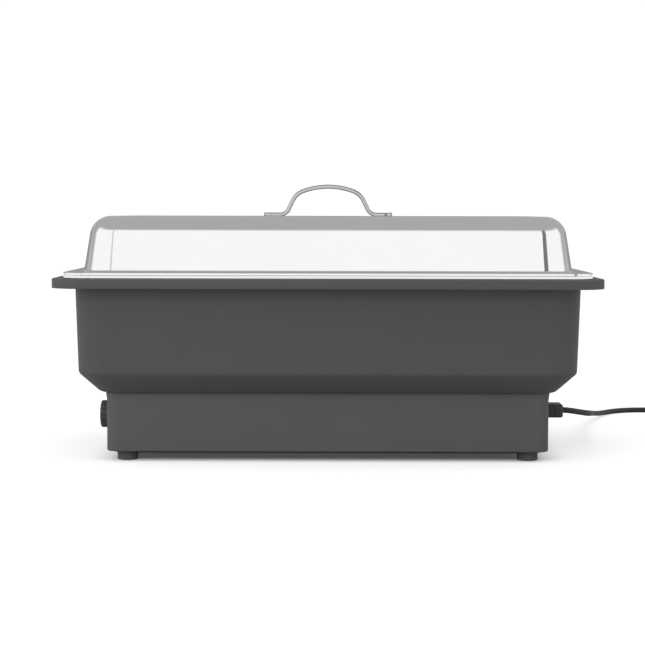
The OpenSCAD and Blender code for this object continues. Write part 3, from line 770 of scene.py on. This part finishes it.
# %% Turned and squared shapes
def lathe(name, profile, origin, axis, sides=48, closed=False, shape=None, sharp=35):
    """Turns a profile of (radius, height) round an axis; shape(angle, height) scales the radius."""
    axis = Vector(axis).normalized()
    u = axis.orthogonal().normalized() if abs(axis.z) > 0.9 else axis.cross(Vector((0, 0, 1))).normalized()
    v = axis.cross(u)
    origin = Vector(origin)
    verts, rows = [], []
    for r, h in profile:
        rows.append(range(len(verts), len(verts) + (1 if r == 0 else sides)))
        for i in range(len(rows[-1])):
            a = 2 * math.pi * i / sides
            reach = r * (shape(a, h) if shape else 1)
            verts.append((origin + h * axis + reach * (math.cos(a) * u + math.sin(a) * v)) * MM)
    faces = []
    for k in range(len(rows) if closed else len(rows) - 1):
        low, high = rows[k], rows[(k + 1) % len(rows)]
        for i in range(sides):
            j = (i + 1) % sides
            if len(low) == 1:
                faces.append((low[0], high[j], high[i]))
            elif len(high) == 1:
                faces.append((low[i], low[j], high[0]))
            else:
                faces.append((low[i], low[j], high[j], high[i]))
    return new_piece(name, verts, faces, sharp)


def block(name, low, high, radius, steps=4, sharp=35):
    """A box with all its edges rounded, between two corners."""
    bm = bmesh.new()
    bmesh.ops.create_cube(bm, size=1)
    for vert in bm.verts:
        vert.co = Vector([(lo if c < 0 else hi) for c, lo, hi in zip(vert.co, low, high)]) * MM
    if radius:
        bmesh.ops.bevel(bm, geom=bm.edges, offset=radius * MM, segments=steps, profile=0.5, affect="EDGES")
    bmesh.ops.recalc_face_normals(bm, faces=bm.faces)
    mesh = bpy.data.meshes.new(name)
    bm.to_mesh(mesh)
    bm.free()
    mesh.shade_smooth()
    mesh.set_sharp_from_angle(angle=math.radians(sharp))
    piece = bpy.data.objects.new(name, mesh)
    bpy.context.collection.objects.link(piece)
    return piece


def joined(name, pieces):
    """One piece out of several."""
    bm = bmesh.new()
    for piece in pieces:
        bm.from_mesh(piece.data)
        bpy.data.objects.remove(piece)
    mesh = bpy.data.meshes.new(name)
    bm.to_mesh(mesh)
    bm.free()
    whole = bpy.data.objects.new(name, mesh)
    bpy.context.collection.objects.link(whole)
    return whole


# %% Base
KNOB_Z, LAMP_Y, INLET_Z = 36, 48, 41.3
THERMOSTAT_SCREW_Y, INLET_SCREW_Y = 11, 20
BASE_OUTSIDE = [(205, 10.7, 0), (229.9, 10.7, 1.2), (230, 64, 4), (231, 71.95, 0), (196, 71.95, 0)]
BASE_INSIDE = [(196, 69, 0), (228, 69, 1), (227.4, 13.2, 1), (205, 13.2, 0)]
base_corner = between([(196, 8), (205, 8), (226, 10), (231, 13)])
base_mouth = (200, 90, 8)
base_rings = ([(*base_mouth, 10.7)] + rings_of(rounded(BASE_OUTSIDE), base_corner)
              + [(*window, 71.95), (*window, 69)]
              + rings_of(rounded(BASE_INSIDE), base_corner) + [(*base_mouth, 13.2)])
base = shell("plastic_base", base_rings, 10, closed=True)


def left_end_hole(y, r, sides):
    return lathe("cut", [(0, 0), (r, 0), (r, 8), (0, 8)], (-234, y, KNOB_Z), (1, 0, 0), sides)


wall_cuts = [left_end_hole(y, 5.1, 32) for y in (0, LAMP_Y)]
wall_cuts += [left_end_hole(side * THERMOSTAT_SCREW_Y, 1.75, 20) for side in (-1, 1)]
wall_cuts += [block("cut", (224, -14.7, INLET_Z - 10), (234, 14.7, INLET_Z + 10), 1.5)]
carve(base, *wall_cuts)
dress(base, "base_plastic", "root", "base_housing")

# %% [markdown]
# ## Softened CAD pieces
#
# Some CAD pieces already have the right shape, and only their edges are too sharp to be real. Their mesh is
# copied, its loose triangles are merged, its flat faces are joined again, and a narrow bevel catches the
# light along every edge.

# %% Softened pieces
def soften(node, name, body, width=0.3, segments=2):
    source = bpy.data.objects[node].data
    bm = bmesh.new()
    bm.from_mesh(source)
    bmesh.ops.remove_doubles(bm, verts=bm.verts, dist=1e-6)
    bmesh.ops.dissolve_limit(bm, angle_limit=math.radians(1), verts=bm.verts, edges=bm.edges)
    mesh = bpy.data.meshes.new(name)
    bm.to_mesh(mesh)
    bm.free()
    piece = bpy.data.objects.new(name, mesh)
    bpy.context.collection.objects.link(piece)
    bevel = piece.modifiers.new("edges", "BEVEL")
    bevel.width, bevel.segments = width * MM, segments
    bevel.limit_method, bevel.angle_limit = "ANGLE", math.radians(40)
    evaluated(piece)
    piece.data.shade_smooth()
    piece.data.set_sharp_from_angle(angle=math.radians(35))
    dress(piece, slot_of[node], body, node)
    return piece


soften("bottom_cover", "base_cover", "root", 0.4)
soften("appliance_inlet", "mains_inlet", "root", 0.35)
soften("terminal_block", "terminals", "root", 0.5)
soften("thermostat_body", "thermostat", "root", 0.4)
soften("heat_spreader", "spreader_plate", "root", 0.4)
soften("heater_clamps", "clamp_bars", "root", 0.25)
soften("inlet_pins", "inlet_blades", "root", 0.3)
soften("heat_shield", "shield_tray", "root", 0.3)
soften("thermal_cutout", "cutout_switch", "root", 0.4)
soften("lamp_holder", "lamp_socket", "root", 0.4)
soften("clamp_nuts", "stud_nuts", "root", 0.3)

# %% [markdown]
# ## Feet
#
# Four turned rubber feet carry the server. Each has a rounded lower edge and a deep recess for its screw.

# %% Feet
FOOT_PROFILE = [(2.1, 5), (4.3, 5), (4.3, 0.5), (4.8, 0.02), (9.8, 0.02), (10.5, 0.4),
                (10.8, 1.3), (10.8, 9.9), (10.5, 10.6), (2.1, 10.6)]
for node in [n for n in slot_of if n.startswith("foot_") and n != "foot_screws"]:
    low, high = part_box(node)
    middle = ((low[0] + high[0]) / 2 / MM, (low[1] + high[1]) / 2 / MM, 0)
    foot = lathe(node.replace("foot_", "rubber_foot_"), FOOT_PROFILE, middle, (0, 0, 1), 56, closed=True)
    dress(foot, "foot_rubber", "root", node)

# %% [markdown]
# ## The knob
#
# The knob is turned too, with a thin skirt and a grip. Twelve shallow flutes come from scaling the radius as
# the angle goes round, and one narrow groove in the grip marks where the pointer is.

# %% Knob
FLUTES = 12
KNOB_GROOVE = math.radians(90 + 7)
KNOB_PROFILE = [(0, 1.9), (15.1, 1.9), (15.5, 2.3), (15.5, 4.9), (15.25, 5.3), (15.2, 5.6), (15.2, 6.4),
                (15.2, 8), (15.1, 12), (15.05, 16), (15, 18), (14.6, 19), (13.8, 19.6), (12.6, 19.9),
                (6, 19.9), (0, 19.9)]


def knob_shape(angle, height):
    """How far the grip is cut in, by flutes and by the pointer's groove."""
    on_grip = ease((height - 5.4) / 1.2) * ease((19.8 - height) / 2.5)
    flute = max(math.cos(FLUTES * angle), 0) ** 2 * 0.055
    from_groove = abs((angle - KNOB_GROOVE + math.pi) % (2 * math.pi) - math.pi)
    groove = 0.08 if from_groove < 0.045 else 0
    return 1 - on_grip * max(flute, groove)


knob = lathe("thermostat_dial_knob", KNOB_PROFILE, (-230.5, 0, KNOB_Z), (-1, 0, 0), 288,
             shape=knob_shape, sharp=50)
dress(knob, "black_plastic", "knob", "thermostat_knob")
soften("dial_plate", "dial_ring", "root", 0.12)

LENS_PROFILE = [(0, -9), (5, -9), (5, 0.1), (6, 0.1), (6, 0.9), (5.7, 1.25), (5.0, 1.4),
                (4.7, 1.8), (3.6, 2.2), (2.0, 2.4), (0, 2.4)]
lens = lathe("pilot_lens", LENS_PROFILE, (-230.5, LAMP_Y, KNOB_Z), (-1, 0, 0), 40)
dress(lens, "amber_lens", "root", "lamp_lens")

# %% [markdown]
# ## Connector and plug
#
# The lead ends in a moulded connector at the server and in an earthed plug at the wall. The connector is a
# rounded block with a narrower nose that goes into the inlet. Three slots in the nose take the inlet's
# blades. The plug is turned, with a plain tapered sleeve that keeps the lead from bending sharply.

# %% Connector
nose = block("nose", (215, -12.1, INLET_Z - 6.8), (240, 12.1, INLET_Z + 6.8), 0.8, 3)
slots = [block("cut", (210, y - 1.3, INLET_Z + dz - 2.3), (x, y + 1.3, INLET_Z + dz + 2.3), 0)
         for y, dz, x in ((-7, -1, 229), (7, -1, 229), (0, 3, 230))]
carve(nose, *slots)
GRIP_W = 26.5
grip = block("grip", (233.1, -GRIP_W / 2, INLET_Z - 7.45), (258.8, GRIP_W / 2, INLET_Z + 7.45), 2.6, 6)
grooves = []
for x in (238, 241.5, 245, 248.5):
    for y in (-GRIP_W / 2, GRIP_W / 2):
        grooves.append(block("cut", (x, y - 0.5, INLET_Z - 5), (x + 1.3, y + 0.5, INLET_Z + 5), 0.3, 2))
carve(grip, *grooves)
connector = joined("mains_connector", [nose, grip])
connector.data.set_sharp_from_angle(angle=math.radians(35))
dress(connector, "black_plastic", "cord_set", "connector_body")

# %% Plug
PLUG_AT = (502, 255, 18.8)
PLUG_PROFILE = [(0, 0), (3.7, 0), (4.7, 0.5), (4.9, 2), (6.3, 21), (7.6, 22.4), (11.5, 24.3), (14.8, 28),
                (17.2, 33), (18.3, 38.5), (18.6, 44), (18.6, 57), (18.1, 57.8), (14.6, 58), (0, 58)]


def plug_shape(angle, height):
    """Two flats for the fingers."""
    on_body = ease((height - 24) / 6) * ease((52 - height) / 8)
    return 1 - 0.1 * on_body * max(abs(math.cos(angle)) - 0.5, 0) * 2


plug = lathe("mains_plug", PLUG_PROFILE, PLUG_AT, (0, -1, 0), 64, shape=plug_shape)
dress(plug, "black_plastic", "cord_set", "plug_body")
pins = [lathe("pin", [(0, 0), (2.35, 0), (2.35, 17.6), (2.2, 18.4), (1.6, 19.4), (0, 19.8)],
              (PLUG_AT[0] + x, PLUG_AT[1] - 57.1, PLUG_AT[2]), (0, -1, 0), 28) for x in (-9.5, 9.5)]
plug_pins = joined("plug_contact_pins", pins)
dress(plug_pins, "zinc_steel", "cord_set", "plug_pins")

# %% [markdown]
# ## The tie
#
# One strap keeps the coil together. It is a rounded block round the coil's left side, hollowed out to a thin
# band. The coil lies on the table, so the band's lower side runs through the bottom of the turns.

# %% Tie of the coil
tie_x = COIL_AT[0] - (COIL_R + COIL_INNER_R) / 2
tie = block("coil_tie", (tie_x - 10.6, COIL_AT[1] - 4, 0.02), (tie_x + 10.6, COIL_AT[1] + 4, 14), 2, 4)
carve(tie, block("cut", (tie_x - 9.8, COIL_AT[1] - 6, 0.7), (tie_x + 9.8, COIL_AT[1] + 6, 13.2), 1.4))
dress(tie, "cord_pvc", "cord_set")

# %% [markdown]
# ## Screws
#
# Five sets of screws hold the server together. Each set is one Geometry Nodes tree on a few loose points:
# the tree puts a screw on every point, turns it about its own axis by a random amount, as a real screw ends
# up, and then turns each screw, where it sits, to face its hole. The screw itself is turned on a lathe and
# has a cross cut into its head.

# %% Tree that sets out screws
def screw_tree(finish):
    tree = bpy.data.node_groups.new("screw_set", "GeometryNodeTree")
    face = tree.interface
    face.new_socket("Geometry", in_out="INPUT", socket_type="NodeSocketGeometry")
    sockets = [face.new_socket(name, in_out="INPUT", socket_type=kind) for name, kind in (
        ("Screw", "NodeSocketObject"), ("Facing", "NodeSocketVector"), ("Seed", "NodeSocketInt"))]
    face.new_socket("Geometry", in_out="OUTPUT", socket_type="NodeSocketGeometry")
    add, link = tree.nodes.new, tree.links.new
    given, done = add("NodeGroupInput"), add("NodeGroupOutput")
    screw, spin = add("GeometryNodeObjectInfo"), add("FunctionNodeRandomValue")
    points, put = add("GeometryNodeMeshToPoints"), add("GeometryNodeInstanceOnPoints")
    about, place = add("ShaderNodeCombineXYZ"), add("GeometryNodeInputPosition")
    turn = add("GeometryNodeRotateInstances")
    real, paint = add("GeometryNodeRealizeInstances"), add("GeometryNodeSetMaterial")
    spin.data_type = "FLOAT"
    spin_low, spin_high = [i for i in spin.inputs if i.enabled and i.name in ("Min", "Max")]
    spin_low.default_value, spin_high.default_value = 0, math.tau
    paint.inputs["Material"].default_value = finish
    link(given.outputs["Geometry"], points.inputs["Mesh"])
    link(given.outputs["Screw"], screw.inputs["Object"])
    link(given.outputs["Seed"], spin.inputs["Seed"])
    link([o for o in spin.outputs if o.enabled][0], about.inputs["Z"])
    link(points.outputs["Points"], put.inputs["Points"])
    link(screw.outputs["Geometry"], put.inputs["Instance"])
    link(put.outputs["Instances"], turn.inputs["Instances"])
    link(given.outputs["Facing"], turn.inputs["Rotation"])
    link(about.outputs["Vector"], put.inputs["Rotation"])
    link(turn.outputs["Instances"], real.inputs["Geometry"])
    link(real.outputs["Geometry"], paint.inputs["Geometry"])
    link(paint.outputs["Geometry"], done.inputs["Geometry"])
    turn.inputs["Local Space"].default_value = False
    link(place.outputs["Position"], turn.inputs["Pivot Point"])
    return tree, [socket.identifier for socket in sockets]


SCREWS, SCREW_INPUTS = screw_tree(FINISHES["zinc_steel"])
print("screw tree", len(SCREWS.nodes), "nodes")


# %% One set of screws
def screw_set(name, node, places, facing, head_r, head_h, shank_r, length, seed):
    cross = [block("cut", (-0.6 * head_r, -0.45, -0.2), (0.6 * head_r, 0.45, 0.55 * head_h), 0),
             block("cut", (-0.45, -0.6 * head_r, -0.2), (0.45, 0.6 * head_r, 0.55 * head_h), 0)]
    head = [(0, 0), (0.5 * head_r, 0), (0.8 * head_r, 0.1 * head_h), (0.96 * head_r, 0.35 * head_h),
            (head_r, 0.7 * head_h), (head_r, head_h)]
    shank = [(shank_r, head_h), (shank_r, length - 1.2), (0.5 * shank_r, length), (0, length)]
    screw = lathe("screw", head + shank, (0, 0, 0), (0, 0, 1), 32)
    carve(screw, *cross)
    piece = new_piece(name, [Vector(p) * MM for p in places], [])
    nodes = piece.modifiers.new("screws", "NODES")
    nodes.node_group = SCREWS
    for identifier, value in zip(SCREW_INPUTS, (screw, facing, seed)):
        nodes[identifier] = value
    evaluated(piece)
    bpy.data.objects.remove(screw)
    piece.data.shade_smooth()
    piece.data.set_sharp_from_angle(angle=math.radians(35))
    dress(piece, "zinc_steel", "root", node)


UP, INTO_LEFT_END, INTO_RIGHT_END = (0, 0, 0), (0, math.pi / 2, 0), (0, -math.pi / 2, 0)
corners = [(x, y) for x in (-1, 1) for y in (-1, 1)]
screw_set("cover_fixings", "cover_screws", [(x, y, 5.5) for x in (-150, 0, 150) for y in (-98, 98)],
          UP, head_r=3, head_h=1.4, shank_r=1.5, length=13.4, seed=1)
screw_set("foot_fixings", "foot_screws", [(209.5 * x, 104 * y, 2.8) for x, y in corners],
          UP, head_r=4, head_h=2.1, shank_r=2, length=22.1, seed=2)
at_ends = [(205 * x, 50 * y, 66.5) for x, y in corners]
at_sides = [(80 * x, 104 * y, 66.5) for x, y in corners]
screw_set("tub_fixings", "housing_screws", at_ends + at_sides,
          UP, head_r=3.75, head_h=2.4, shank_r=2, length=8, seed=3)
screw_set("thermostat_fixings", "thermostat_screws",
          [(-232.1, side * THERMOSTAT_SCREW_Y, KNOB_Z) for side in (-1, 1)],
          INTO_LEFT_END, head_r=2.8, head_h=1.0, shank_r=1.5, length=7.6, seed=4)
screw_set("inlet_fixings", "inlet_screws", [(234.1, side * INLET_SCREW_Y, INLET_Z) for side in (-1, 1)],
          INTO_RIGHT_END, head_r=2.8, head_h=1.3, shank_r=1.5, length=9.6, seed=5)
